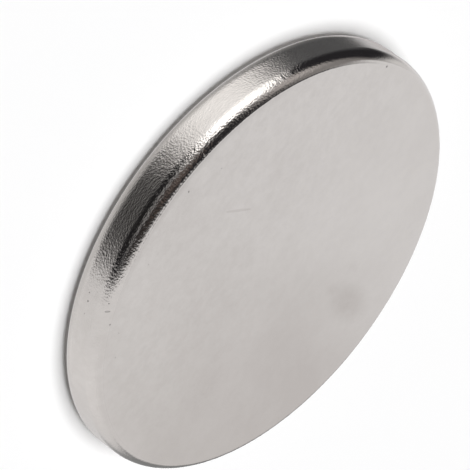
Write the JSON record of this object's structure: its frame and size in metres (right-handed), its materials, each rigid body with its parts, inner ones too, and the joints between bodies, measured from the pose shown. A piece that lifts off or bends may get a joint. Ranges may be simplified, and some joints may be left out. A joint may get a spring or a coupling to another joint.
{
  "type": "disc magnet",
  "caption": "Flat round permanent magnet with two flat pole faces, tumbled round edges and a bright nickel-plated surface, for holding, closing or sensing.",
  "frame": {"origin": "centre of the lower pole face, which the magnet rests on", "axes": "+Z along the disc's axis, from the lower pole face to the upper one; X and Y lie in the lower face and are equivalent"},
  "size_m": [0.02, 0.02, 0.002],
  "materials": {
    "nickel_plate": "bright nickel plate, finely pebbled on the rim"
  },
  "bodies": {
    "root": {"disc_magnet": "nickel_plate"}
  },
  "joints": []
}
